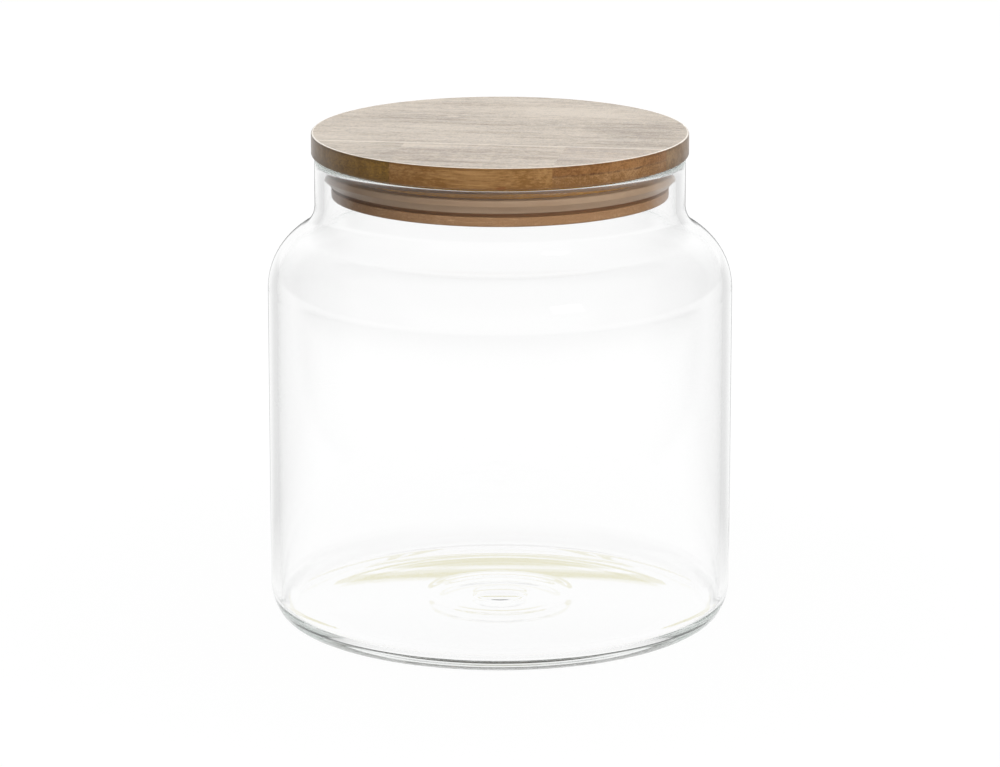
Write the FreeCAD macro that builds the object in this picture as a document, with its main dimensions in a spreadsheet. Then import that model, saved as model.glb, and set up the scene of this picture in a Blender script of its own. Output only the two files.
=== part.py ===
"""A lidded glass canister: a blown jar, a round wooden lid glued from blocks, and its gasket.

Millimetres, +Z up. The origin is the centre of the ring that the jar stands on.
"""
import FreeCAD, Part
import math
import os
from types import SimpleNamespace

import Sketcher

Vector = FreeCAD.Vector

# Driving dimensions: name, size in millimetres or degrees, meaning
SIZES = [
    ("body_radius", 75.0, "outer radius of the jar's straight wall"),
    ("wall_thickness", 3.0, "thickness of the glass, from the rim to the base corner"),
    ("floor_thickness", 4.25, "thickness of the glass in the floor"),
    ("floor_corner_radius", 5.0, "curve from the wall to the floor, inside the jar"),
    ("foot_inset", 8.2, "from the straight wall in to the ring that the jar stands on"),
    ("foot_width", 8.8, "width of the ring that the jar stands on"),
    ("foot_corner_radius", 7.0, "lower, tighter curve of the base corner"),
    ("base_corner_radius", 16.5, "upper, wider curve of the base corner"),
    ("punt_height", 1.5, "rise of the floor from the standing ring to the axis"),
    ("bump_radius", 9.0, "radius of the small swelling at the centre of the floor"),
    ("bump_height", 0.8, "height of that swelling"),
    ("shoulder_height", 109.0, "height at which the straight wall ends"),
    ("shoulder_radius", 22.0, "outward curve of the shoulder"),
    ("neck_fillet_radius", 10.0, "inward curve from the shoulder to the neck"),
    ("neck_radius", 59.7, "outer radius of the neck"),
    ("neck_height", 15.8, "straight neck, from the end of the shoulder to the rim"),
    ("lid_seat_gap", 0.8, "from the rim up to the lid, which its gasket holds in the neck"),
    ("lid_overhang", 1.0, "how far the lid stands out past the neck"),
    ("flange_thickness", 7.0, "thickness of the lid above the rim"),
    ("flange_edge_radius", 0.5, "rounding of the lid's upper and lower edges"),
    ("stave_angle", 8.0, "turn of the lid's glue lines about the axis"),
    ("front_joint", 23.0, "from the axis to the glue line of the front stave"),
    ("back_joint", 22.5, "from the axis to the glue line of the back stave"),
    ("left_end_joint", 27.3, "from the axis to the left end joint of the front stave"),
    ("right_end_joint", 24.2, "from the axis to the right end joint of the front stave"),
    ("plug_clearance", 2.4, "between the wooden plug and the bore of the neck"),
    ("plug_land_height", 3.9, "plug above its groove"),
    ("plug_groove_height", 5.8, "groove that holds the gasket"),
    ("plug_lip_height", 3.1, "plug below its groove"),
    ("plug_edge_radius", 0.6, "rounding of the plug's lower edge"),
    ("groove_depth", 3.0, "depth of the groove into the plug"),
    ("gasket_bore_clearance", 0.15, "between the gasket and the bore of the neck"),
    ("gasket_groove_clearance", 0.1, "between the gasket and the walls of its groove"),
    ("gasket_notch_depth", 1.3, "from the plug's side in to the gasket's foot"),
    ("gasket_notch_height", 1.3, "open notch between the gasket's band and the plug's lip"),
    ("gasket_lead_in", 1.6, "how far the gasket's band narrows downwards"),
    ("gasket_lead_in_height", 2.4, "height over which it narrows"),
    ("gasket_edge_radius", 0.5, "rounding of the band's upper edge"),
]

# Sizes that follow from the driving ones
SHOULDER_STEP = "(Sizes.body_radius - Sizes.neck_radius)"
SHOULDER_REACH = "(Sizes.shoulder_radius + Sizes.neck_fillet_radius)"
SHOULDER_RISE = f"sqrt(2 * {SHOULDER_REACH} * {SHOULDER_STEP} - {SHOULDER_STEP} ^ 2)"
JAR_HEIGHT = f"(Sizes.shoulder_height + {SHOULDER_RISE} + Sizes.neck_height)"
LID_SEAT = f"({JAR_HEIGHT} + Sizes.lid_seat_gap)"
FOOT_RADIUS = "(Sizes.body_radius - Sizes.foot_inset)"
PUNT_RADIUS = f"({FOOT_RADIUS} - Sizes.foot_width)"
LID_RADIUS = "(Sizes.neck_radius + Sizes.lid_overhang)"
BORE_RADIUS = "(Sizes.neck_radius - Sizes.wall_thickness)"
PLUG_RADIUS = f"({BORE_RADIUS} - Sizes.plug_clearance)"
GROOVE_RADIUS = f"({PLUG_RADIUS} - Sizes.groove_depth)"
GROOVE_TOP = "(Sizes.plug_lip_height + Sizes.plug_groove_height)"
PLUG_DEPTH = f"({GROOVE_TOP} + Sizes.plug_land_height)"
GASKET_RADIUS = f"({BORE_RADIUS} - Sizes.gasket_bore_clearance)"
GASKET_BORE = f"({GROOVE_RADIUS} + Sizes.gasket_groove_clearance)"
GASKET_HEIGHT = "(Sizes.plug_groove_height - 2 * Sizes.gasket_groove_clearance)"
GASKET_FOOT_RADIUS = f"({PLUG_RADIUS} - Sizes.gasket_notch_depth)"
GASKET_BAND_RADIUS = f"({GASKET_RADIUS} - Sizes.gasket_lead_in)"
LEAD_IN_TOP = "(Sizes.gasket_notch_height + Sizes.gasket_lead_in_height)"

# Sketcher's numbers for a curve's points and for the sketch's own axes
START, END, CENTRE = range(1, 4)
ACROSS_AXIS, UP_AXIS = range(-1, -3, -1)


class Section:
    """A half section in a body's XZ plane, with the radius across and the height up.

    Each edge is a (geometry, first point, last point) triple, in the order of the outline.
    """

    def __init__(self, body, name):
        self.sketch = body.newObject("Sketcher::SketchObject", name)
        plane = next(part for part in body.Origin.OriginFeatures if part.Role == "XZ_Plane")
        self.sketch.AttachmentSupport = [(plane, "")]
        self.sketch.MapMode = "FlatFace"

    def value(self, formula):
        return float(self.sketch.evalExpression(formula))

    def line(self, first, last):
        segment = Part.LineSegment(Vector(*first, 0), Vector(*last, 0))
        return self.sketch.addGeometry(segment, False), START, END

    def arc(self, first, last, centre, clockwise=False):
        circle = Part.Circle(Vector(*centre, 0), Vector(0, 0, 1), math.dist(first, centre))
        angles = [math.atan2(y - centre[1], x - centre[0]) for x, y in (first, last)]
        if clockwise:
            arc = Part.ArcOfCircle(circle, angles[1], angles[0])
            return self.sketch.addGeometry(arc, False), END, START
        arc = Part.ArcOfCircle(circle, angles[0], angles[1])
        return self.sketch.addGeometry(arc, False), START, END

    def constrain(self, kind, *places):
        return self.sketch.addConstraint(Sketcher.Constraint(kind, *places))

    def corner(self, edge, following):
        self.constrain("Coincident", edge[0], edge[2], following[0], following[1])

    def smooth(self, edge, following):
        self.constrain("Tangent", edge[0], edge[2], following[0], following[1])

    def concentric(self, arc, other):
        self.constrain("Coincident", arc[0], CENTRE, other[0], CENTRE)

    def upright(self, *edges):
        for edge in edges:
            self.constrain("Vertical", edge[0])

    def level(self, *edges):
        for edge in edges:
            self.constrain("Horizontal", edge[0])

    def on_axis(self, axis, edge, point):
        self.constrain("PointOnObject", edge[0], point, axis)

    def dimension(self, kind, formula, *places):
        index = self.constrain(kind, *places, self.value(formula))
        self.sketch.setExpression(f"Constraints[{index}]", formula)

    def radius(self, arc, formula):
        self.dimension("Radius", formula, arc[0])

    def across(self, edge, point, formula):
        self.dimension("DistanceX", formula, ACROSS_AXIS, START, edge[0], point)

    def up(self, edge, point, formula):
        self.dimension("DistanceY", formula, ACROSS_AXIS, START, edge[0], point)


def add_sizes(doc):
    """The driving dimensions as a sheet, and as plain numbers for first outlines."""
    sheet = doc.addObject("Spreadsheet::Sheet", "Sizes")
    for row, (alias, size, meaning) in enumerate(SIZES, start=1):
        sheet.set(f"A{row}", meaning)
        sheet.set(f"B{row}", str(size))
        sheet.setAlias(f"B{row}", alias)
    doc.recompute()
    return SimpleNamespace(**{alias: float(sheet.get(alias)) for alias, _, _ in SIZES})


def add_body(doc, name):
    body = doc.addObject("PartDesign::Body", name)
    body.Label = name
    return body


def revolve(body, section):
    turned = body.newObject("PartDesign::Revolution", f"{body.Name}_turned")
    turned.Profile = section.sketch
    turned.ReferenceAxis = (section.sketch, ["V_Axis"])
    turned.Angle = 360.0
    section.sketch.Visibility = False


def along(origin, direction, distance):
    return origin[0] + direction[0] * distance, origin[1] + direction[1] * distance


def direction_between(origin, target):
    length = math.dist(origin, target)
    return (target[0] - origin[0]) / length, (target[1] - origin[1]) / length


def add_jar(doc, size):
    """The blown jar: a thick floor, and an even wall from there to the rounded rim."""
    body = add_body(doc, "glass_jar")
    section = Section(body, "jar_section")
    wall = size.wall_thickness
    body_radius = size.body_radius
    neck_radius = size.neck_radius
    foot_radius = section.value(FOOT_RADIUS)
    punt_radius = section.value(PUNT_RADIUS)
    neck_start = size.shoulder_height + section.value(SHOULDER_RISE)
    rim_centre_height = section.value(JAR_HEIGHT) - wall / 2

    # Centres of the curves, and the directions in which neighbouring curves meet
    punt_curve = (punt_radius ** 2 + size.punt_height ** 2) / (2 * size.punt_height)
    punt_centre = (0, size.punt_height - punt_curve)
    floor_centre = (0, punt_centre[1] + size.floor_thickness)
    foot_centre = (foot_radius, size.foot_corner_radius)
    corner_overlap = size.base_corner_radius - size.foot_inset
    corner_span = size.base_corner_radius - size.foot_corner_radius
    corner_height = size.foot_corner_radius + math.sqrt(corner_span ** 2 - corner_overlap ** 2)
    corner_centre = (body_radius - size.base_corner_radius, corner_height)
    corner_direction = direction_between(corner_centre, foot_centre)
    shoulder_centre = (body_radius - size.shoulder_radius, size.shoulder_height)
    neck_centre = (neck_radius + size.neck_fillet_radius, neck_start)
    shoulder_direction = direction_between(shoulder_centre, neck_centre)
    rim_centre = (neck_radius - wall / 2, rim_centre_height)
    inside_centre = (body_radius - wall - size.floor_corner_radius,
                     size.floor_thickness + size.floor_corner_radius)
    bump_foot = floor_centre[1] + math.sqrt(punt_curve ** 2 - size.bump_radius ** 2)
    bump_top = bump_foot + size.bump_height
    bump_curve = (size.bump_radius ** 2 + size.bump_height ** 2) / (2 * size.bump_height)
    bump_centre = (0, bump_top - bump_curve)

    # Points of the outer face, from the axis out and up
    punt_top = (0, size.punt_height)
    foot_inner = (punt_radius, 0)
    foot_outer = (foot_radius, 0)
    corner_meeting = along(foot_centre, corner_direction, size.foot_corner_radius)
    wall_bottom = (body_radius, corner_height)
    wall_top = (body_radius, size.shoulder_height)
    shoulder_meeting = along(shoulder_centre, shoulder_direction, size.shoulder_radius)
    neck_bottom = (neck_radius, neck_start)
    rim_outer = (neck_radius, rim_centre_height)

    # Points of the inner face, from the rim down to the axis
    rim_inner = (neck_radius - wall, rim_centre_height)
    bore_bottom = (neck_radius - wall, neck_start)
    inner_meeting = along(shoulder_centre, shoulder_direction, size.shoulder_radius - wall)
    inside_top = (body_radius - wall, size.shoulder_height)
    inside_bottom = (body_radius - wall, inside_centre[1])
    floor_outer = (inside_centre[0], size.floor_thickness)
    floor_inner = (punt_radius, size.floor_thickness)
    bump_edge = (size.bump_radius, bump_foot)
    bump_tip = (0, bump_top)

    punt = section.arc(punt_top, foot_inner, punt_centre, clockwise=True)
    foot = section.line(foot_inner, foot_outer)
    foot_corner = section.arc(foot_outer, corner_meeting, foot_centre)
    base_corner = section.arc(corner_meeting, wall_bottom, corner_centre)
    outer_wall = section.line(wall_bottom, wall_top)
    shoulder = section.arc(wall_top, shoulder_meeting, shoulder_centre)
    neck_curve = section.arc(shoulder_meeting, neck_bottom, neck_centre, clockwise=True)
    neck = section.line(neck_bottom, rim_outer)
    rim = section.arc(rim_outer, rim_inner, rim_centre)
    bore = section.line(rim_inner, bore_bottom)
    inner_neck_curve = section.arc(bore_bottom, inner_meeting, neck_centre)
    inner_shoulder = section.arc(inner_meeting, inside_top, shoulder_centre, clockwise=True)
    inner_wall = section.line(inside_top, inside_bottom)
    floor_corner = section.arc(inside_bottom, floor_outer, inside_centre, clockwise=True)
    floor_ring = section.line(floor_outer, floor_inner)
    floor = section.arc(floor_inner, bump_edge, floor_centre)
    bump = section.arc(bump_edge, bump_tip, bump_centre)
    axis = section.line(bump_tip, punt_top)

    flowing = [foot, foot_corner, base_corner, outer_wall, shoulder, neck_curve, neck, rim, bore,
               inner_neck_curve, inner_shoulder, inner_wall, floor_corner, floor_ring]
    for edge, following in zip(flowing, flowing[1:]):
        section.smooth(edge, following)
    section.corner(punt, foot)
    section.corner(floor_ring, floor)
    section.corner(floor, bump)
    section.corner(bump, axis)
    section.corner(axis, punt)
    section.concentric(inner_neck_curve, neck_curve)
    section.concentric(inner_shoulder, shoulder)
    section.constrain("Equal", punt[0], floor[0])
    section.upright(outer_wall, neck, bore, inner_wall)
    section.level(foot, floor_ring)
    section.on_axis(ACROSS_AXIS, foot, foot[1])
    section.on_axis(UP_AXIS, punt, punt[1])
    section.on_axis(UP_AXIS, punt, CENTRE)
    section.on_axis(UP_AXIS, floor, CENTRE)
    section.on_axis(UP_AXIS, bump, CENTRE)
    section.on_axis(UP_AXIS, bump, bump[2])

    section.up(punt, punt[1], "Sizes.punt_height")
    section.across(foot, foot[1], PUNT_RADIUS)
    section.across(foot, foot[2], FOOT_RADIUS)
    section.radius(foot_corner, "Sizes.foot_corner_radius")
    section.radius(base_corner, "Sizes.base_corner_radius")
    section.across(outer_wall, outer_wall[1], "Sizes.body_radius")
    section.up(outer_wall, outer_wall[2], "Sizes.shoulder_height")
    section.radius(shoulder, "Sizes.shoulder_radius")
    section.radius(neck_curve, "Sizes.neck_fillet_radius")
    section.across(neck, neck[1], "Sizes.neck_radius")
    section.up(neck, neck[2], f"{JAR_HEIGHT} - Sizes.wall_thickness / 2")
    section.radius(rim, "Sizes.wall_thickness / 2")
    section.radius(floor_corner, "Sizes.floor_corner_radius")
    section.up(floor_ring, floor_ring[1], "Sizes.floor_thickness")
    section.across(floor_ring, floor_ring[2], PUNT_RADIUS)
    section.across(floor, floor[2], "Sizes.bump_radius")
    section.dimension("DistanceY", "Sizes.bump_height", bump[0], bump[1], bump[0], bump[2])
    revolve(body, section)
    return body


def add_flange(doc, size):
    """The lid's round board with both edges eased, before the joints divide it into blocks."""
    body = add_body(doc, "flange")
    section = Section(body, "flange_section")
    radius = section.value(LID_RADIUS)
    ease = size.flange_edge_radius
    top = size.flange_thickness

    under = section.line((0, 0), (radius - ease, 0))
    low_edge = section.arc((radius - ease, 0), (radius, ease), (radius - ease, ease))
    side = section.line((radius, ease), (radius, top - ease))
    high_edge = section.arc((radius, top - ease), (radius - ease, top), (radius - ease, top - ease))
    upper = section.line((radius - ease, top), (0, top))
    axis = section.line((0, top), (0, 0))

    outline = [under, low_edge, side, high_edge, upper]
    for edge, following in zip(outline, outline[1:]):
        section.smooth(edge, following)
    section.corner(upper, axis)
    section.corner(axis, under)
    section.level(under, upper)
    section.upright(side, axis)
    section.constrain("Coincident", under[0], under[1], ACROSS_AXIS, START)
    section.constrain("Equal", low_edge[0], high_edge[0])
    section.radius(low_edge, "Sizes.flange_edge_radius")
    section.across(side, side[1], LID_RADIUS)
    section.up(upper, upper[1], "Sizes.flange_thickness")
    revolve(body, section)
    return body


def add_blocks(doc, flange):
    """The flange's five glued pieces: three staves, the front one end-jointed from three blocks."""
    front_line = "-Sizes.front_joint"
    back_line = "Sizes.back_joint"
    left_line = "-Sizes.left_end_joint"
    right_line = "Sizes.right_end_joint"
    edge = LID_RADIUS
    outlines = {
        "lid_front_left_block": (f"-{edge}", left_line, f"-{edge}", front_line),
        "lid_front_middle_block": (left_line, right_line, f"-{edge}", front_line),
        "lid_front_right_block": (right_line, edge, f"-{edge}", front_line),
        "lid_middle_stave": (f"-{edge}", edge, front_line, back_line),
        "lid_back_stave": (f"-{edge}", edge, back_line, edge),
    }
    blocks = []
    for name, (left, right, front, back) in outlines.items():
        blank = doc.addObject("Part::Box", f"{name}_blank")
        blank.setExpression("Placement.Base.x", left)
        blank.setExpression("Placement.Base.y", front)
        blank.setExpression("Length", f"{right} - ({left})")
        blank.setExpression("Width", f"{back} - ({front})")
        blank.setExpression("Height", "Sizes.flange_thickness")
        block = doc.addObject("Part::Common", name)
        block.Label = name
        block.Base = flange
        block.Tool = blank
        turn = "rotation(vector(0; 0; 1); -Sizes.stave_angle)"
        block.setExpression("Placement", f"placement(vector(0; 0; {LID_SEAT}); {turn})")
        blocks.append(block)
    return blocks


def add_plug(doc, size):
    """The disc glued under the flange, with the groove for the gasket and a lip below it."""
    body = add_body(doc, "lid_plug")
    section = Section(body, "plug_section")
    radius = section.value(PLUG_RADIUS)
    groove = section.value(GROOVE_RADIUS)
    groove_top = section.value(GROOVE_TOP)
    depth = section.value(PLUG_DEPTH)
    lip = size.plug_lip_height
    ease = size.plug_edge_radius

    under = section.line((0, 0), (radius - ease, 0))
    low_edge = section.arc((radius - ease, 0), (radius, ease), (radius - ease, ease))
    lip_side = section.line((radius, ease), (radius, lip))
    groove_floor = section.line((radius, lip), (groove, lip))
    groove_side = section.line((groove, lip), (groove, groove_top))
    groove_roof = section.line((groove, groove_top), (radius, groove_top))
    land_side = section.line((radius, groove_top), (radius, depth))
    glued_face = section.line((radius, depth), (0, depth))
    axis = section.line((0, depth), (0, 0))

    section.smooth(under, low_edge)
    section.smooth(low_edge, lip_side)
    outline = [lip_side, groove_floor, groove_side, groove_roof, land_side, glued_face, axis, under]
    for edge, following in zip(outline, outline[1:]):
        section.corner(edge, following)
    section.level(under, groove_floor, groove_roof, glued_face)
    section.upright(lip_side, groove_side, land_side, axis)
    section.constrain("Coincident", under[0], under[1], ACROSS_AXIS, START)
    section.radius(low_edge, "Sizes.plug_edge_radius")
    section.across(lip_side, lip_side[2], PLUG_RADIUS)
    section.up(lip_side, lip_side[2], "Sizes.plug_lip_height")
    section.across(groove_side, groove_side[1], GROOVE_RADIUS)
    section.up(groove_side, groove_side[2], GROOVE_TOP)
    section.across(land_side, land_side[1], PLUG_RADIUS)
    section.up(land_side, land_side[2], PLUG_DEPTH)
    revolve(body, section)
    body.setExpression("Placement.Base.z", f"{LID_SEAT} - {PLUG_DEPTH}")
    return body


def add_gasket(doc, size):
    """The moulded ring: a foot in the plug's groove and a band that narrows downwards."""
    body = add_body(doc, "silicone_gasket")
    section = Section(body, "gasket_section")
    bore = section.value(GASKET_BORE)
    foot_radius = section.value(GASKET_FOOT_RADIUS)
    band_radius = section.value(GASKET_BAND_RADIUS)
    radius = section.value(GASKET_RADIUS)
    lead_in_top = section.value(LEAD_IN_TOP)
    height = section.value(GASKET_HEIGHT)
    notch = size.gasket_notch_height
    ease = size.gasket_edge_radius

    under = section.line((bore, 0), (foot_radius, 0))
    foot_side = section.line((foot_radius, 0), (foot_radius, notch))
    band_under = section.line((foot_radius, notch), (band_radius, notch))
    lead_in = section.line((band_radius, notch), (radius, lead_in_top))
    band_side = section.line((radius, lead_in_top), (radius, height - ease))
    high_edge = section.arc((radius, height - ease), (radius - ease, height), (radius - ease, height - ease))
    upper = section.line((radius - ease, height), (bore, height))
    inner_side = section.line((bore, height), (bore, 0))

    section.smooth(band_side, high_edge)
    section.smooth(high_edge, upper)
    outline = [upper, inner_side, under, foot_side, band_under, lead_in, band_side]
    for edge, following in zip(outline, outline[1:]):
        section.corner(edge, following)
    section.level(under, band_under, upper)
    section.upright(foot_side, band_side, inner_side)
    section.on_axis(ACROSS_AXIS, under, under[1])
    section.across(under, under[1], GASKET_BORE)
    section.across(under, under[2], GASKET_FOOT_RADIUS)
    section.up(foot_side, foot_side[2], "Sizes.gasket_notch_height")
    section.across(band_under, band_under[2], GASKET_BAND_RADIUS)
    section.across(lead_in, lead_in[2], GASKET_RADIUS)
    section.up(lead_in, lead_in[2], LEAD_IN_TOP)
    section.radius(high_edge, "Sizes.gasket_edge_radius")
    section.up(upper, upper[2], GASKET_HEIGHT)
    revolve(body, section)
    groove_floor = f"{LID_SEAT} - {PLUG_DEPTH} + Sizes.plug_lip_height"
    body.setExpression("Placement.Base.z", f"{groove_floor} + Sizes.gasket_groove_clearance")
    return body


def check(doc, nodes):
    for item in doc.Objects:
        if "Invalid" in item.State or "Error" in item.State:
            raise RuntimeError(f"{item.Label} failed: {item.State}")
    for node in nodes:
        if node.Shape.isNull() or not node.Shape.isValid() or len(node.Shape.Solids) != 1:
            raise RuntimeError(f"{node.Label} is not one valid solid")


def main():
    doc = FreeCAD.newDocument("canister")
    size = add_sizes(doc)
    jar = add_jar(doc, size)
    flange = add_flange(doc, size)
    blocks = add_blocks(doc, flange)
    plug = add_plug(doc, size)
    gasket = add_gasket(doc, size)
    nodes = [jar, *blocks, plug, gasket]
    doc.recompute()
    check(doc, nodes)
    os.makedirs("parts", exist_ok=True)
    for node in nodes:
        node.Shape.exportStep(f"parts/{node.Label}.step")
        box = node.Shape.BoundBox
        print(f"{node.Label}: {node.Shape.Volume / 1000:.2f} cm3, z {box.ZMin:.2f} to {box.ZMax:.2f}")


main()
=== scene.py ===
"""Looks of the lidded glass canister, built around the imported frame.

The scene is in metres, +Z up, in the same frame as the solids. The sizes of the pieces below are in
millimetres and repeat the solids' own, and the studio's are in metres.
"""
import math

import bmesh
import bpy
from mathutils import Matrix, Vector


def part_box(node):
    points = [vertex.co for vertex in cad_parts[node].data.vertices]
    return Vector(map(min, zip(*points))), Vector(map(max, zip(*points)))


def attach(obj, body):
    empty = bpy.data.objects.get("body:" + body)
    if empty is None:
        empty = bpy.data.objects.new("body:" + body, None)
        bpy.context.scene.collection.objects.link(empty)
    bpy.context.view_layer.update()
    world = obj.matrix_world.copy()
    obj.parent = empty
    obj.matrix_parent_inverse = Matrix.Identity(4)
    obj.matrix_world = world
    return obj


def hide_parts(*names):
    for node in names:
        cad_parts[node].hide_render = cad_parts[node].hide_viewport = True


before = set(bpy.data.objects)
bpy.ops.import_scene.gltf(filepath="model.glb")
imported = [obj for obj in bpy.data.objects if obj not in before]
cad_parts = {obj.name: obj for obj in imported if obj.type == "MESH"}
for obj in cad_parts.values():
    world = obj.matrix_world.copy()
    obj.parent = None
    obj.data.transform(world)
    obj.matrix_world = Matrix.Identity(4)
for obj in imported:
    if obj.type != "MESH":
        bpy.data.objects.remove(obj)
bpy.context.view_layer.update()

MM = 0.001

# The jar
BODY_RADIUS = 75.0
WALL = 3.0
FOOT_RADIUS = 66.8
PUNT_RADIUS = 58.0
PUNT_HEIGHT = 1.5
FLOOR = 4.25
FLOOR_CORNER = 5.0
FOOT_CORNER = 7.0
BASE_CORNER = 16.5
BUMP_RADIUS = 9.0
BUMP_HEIGHT = 0.8
RING_RADIUS = 22.0
RING_WIDTH = 2.6
RING_HEIGHT = 0.15
SHOULDER_HEIGHT = 109.0
SHOULDER = 22.0
NECK_FILLET = 10.0
NECK_RADIUS = 59.7
NECK_HEIGHT = 15.8
JAR_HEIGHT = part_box("glass_jar")[1].z / MM
RIM = WALL / 2
NECK_START = JAR_HEIGHT - NECK_HEIGHT

# The lid
LID_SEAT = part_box("lid_middle_stave")[0].z / MM
LID_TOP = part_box("lid_middle_stave")[1].z / MM
LID_RADIUS = 60.7
LID_EASE = 0.5
LID_RINGS = (0, 20, 40, 55)
STAVE_ANGLE = math.radians(8.0)
FRONT_JOINT = -23.0
BACK_JOINT = 22.5
LEFT_END_JOINT = -27.3
RIGHT_END_JOINT = 24.2
PLUG_RADIUS = 54.3
PLUG_RING = 30
GROOVE_RADIUS = 51.3
GROOVE_EASE = 0.15
PLUG_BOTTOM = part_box("lid_plug")[0].z / MM
PLUG_LIP = 3.1
PLUG_GROOVE = 5.8
PLUG_EASE = 0.6

# Narrow bands beside the rounded edges, which keep the flat faces flat in shading
TOP_BAND = 0.15
SIDE_BAND = 0.1

# The gasket
GASKET_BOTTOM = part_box("silicone_gasket")[0].z / MM
GASKET_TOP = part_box("silicone_gasket")[1].z / MM
GASKET_BORE = 51.4
GASKET_FOOT = 53.0
GASKET_BAND = 54.95
GASKET_BAND_EASE = 0.2
GASKET_RADIUS = 56.55
GASKET_NOTCH = 1.3
GASKET_LEAD_IN = 3.7
GASKET_EASE = 0.5

# How finely the turned pieces are divided, around and along their sections
SEGMENTS = 256
PUNT_STEPS = 24
FLOOR_STEPS = 72
BUMP_STEPS = 12
CORNER_STEPS = 16
WALL_STEPS = 16
SHOULDER_STEPS = 24
FILLET_STEPS = 14
NECK_STEPS = 6
RIM_STEPS = 20
FLANGE_EASE_STEPS = 8
EASE_STEPS = 6
SHORT_STEPS = 3
SIDE_STEPS = 2
SAME_POINT = 0.03
ON_AXIS = 1e-6
CUT_SLACK = 1e-7
SHARP_ANGLE = 35


def arc(centre, radius, start, end, steps):
    """Points of a circle from one angle to another, in degrees, both ends included."""
    angles = [math.radians(start + (end - start) * step / steps) for step in range(steps + 1)]
    return [(centre[0] + radius * math.cos(a), centre[1] + radius * math.sin(a)) for a in angles]


def straight(first, last, steps):
    """Points along a line, both ends included."""
    shares = [step / steps for step in range(steps + 1)]
    return [(first[0] + (last[0] - first[0]) * s, first[1] + (last[1] - first[1]) * s) for s in shares]


def tidy(points):
    """The section without points that repeat the one before."""
    kept = [points[0]]
    for point in points[1:]:
        if math.dist(point, kept[-1]) > SAME_POINT:
            kept.append(point)
    return kept


def link(name, mesh):
    piece = bpy.data.objects.new(name, mesh)
    bpy.context.scene.collection.objects.link(piece)
    return piece


def turn(section, closed=False):
    """A bmesh turned about Z from (radius, height) points; points on the axis become poles."""
    made = bmesh.new()
    angles = [2 * math.pi * k / SEGMENTS for k in range(SEGMENTS)]
    rows = []
    for radius, height in section:
        if radius < ON_AXIS:
            rows.append([made.verts.new((0, 0, height * MM))])
            continue
        rows.append([made.verts.new((radius * MM * math.cos(a), radius * MM * math.sin(a), height * MM))
                     for a in angles])
    pairs = list(zip(rows, rows[1:]))
    if closed:
        pairs.append((rows[-1], rows[0]))
    for low, high in pairs:
        for k in range(SEGMENTS):
            n = (k + 1) % SEGMENTS
            corners = [low[k % len(low)], low[n % len(low)], high[n % len(high)], high[k % len(high)]]
            made.faces.new(list(dict.fromkeys(corners)))
    bmesh.ops.recalc_face_normals(made, faces=made.faces)
    return made


def finish_piece(name, made, sharp=None):
    """A smooth object from a bmesh, with the edges steeper than the given angle left sharp."""
    mesh = bpy.data.meshes.new(name)
    made.to_mesh(mesh)
    made.free()
    for face in mesh.polygons:
        face.use_smooth = True
    if sharp is not None:
        mesh.set_sharp_from_angle(angle=math.radians(sharp))
    return link(name, mesh)


def dress(piece, body, slot, material, *nodes):
    piece.data.materials.clear()
    piece.data.materials.append(material)
    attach(piece, body)
    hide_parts(*nodes)


def dome(height, reach, radius):
    """How high a low round dome stands at a radius."""
    return height * (1 - (radius / reach) ** 2)


def floor_height(radius):
    """The inner floor, with the faint ring that the blowing leaves on it."""
    ring = RING_HEIGHT * math.exp(-((radius - RING_RADIUS) / RING_WIDTH) ** 2)
    return FLOOR + dome(PUNT_HEIGHT, PUNT_RADIUS, radius) + ring


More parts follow.
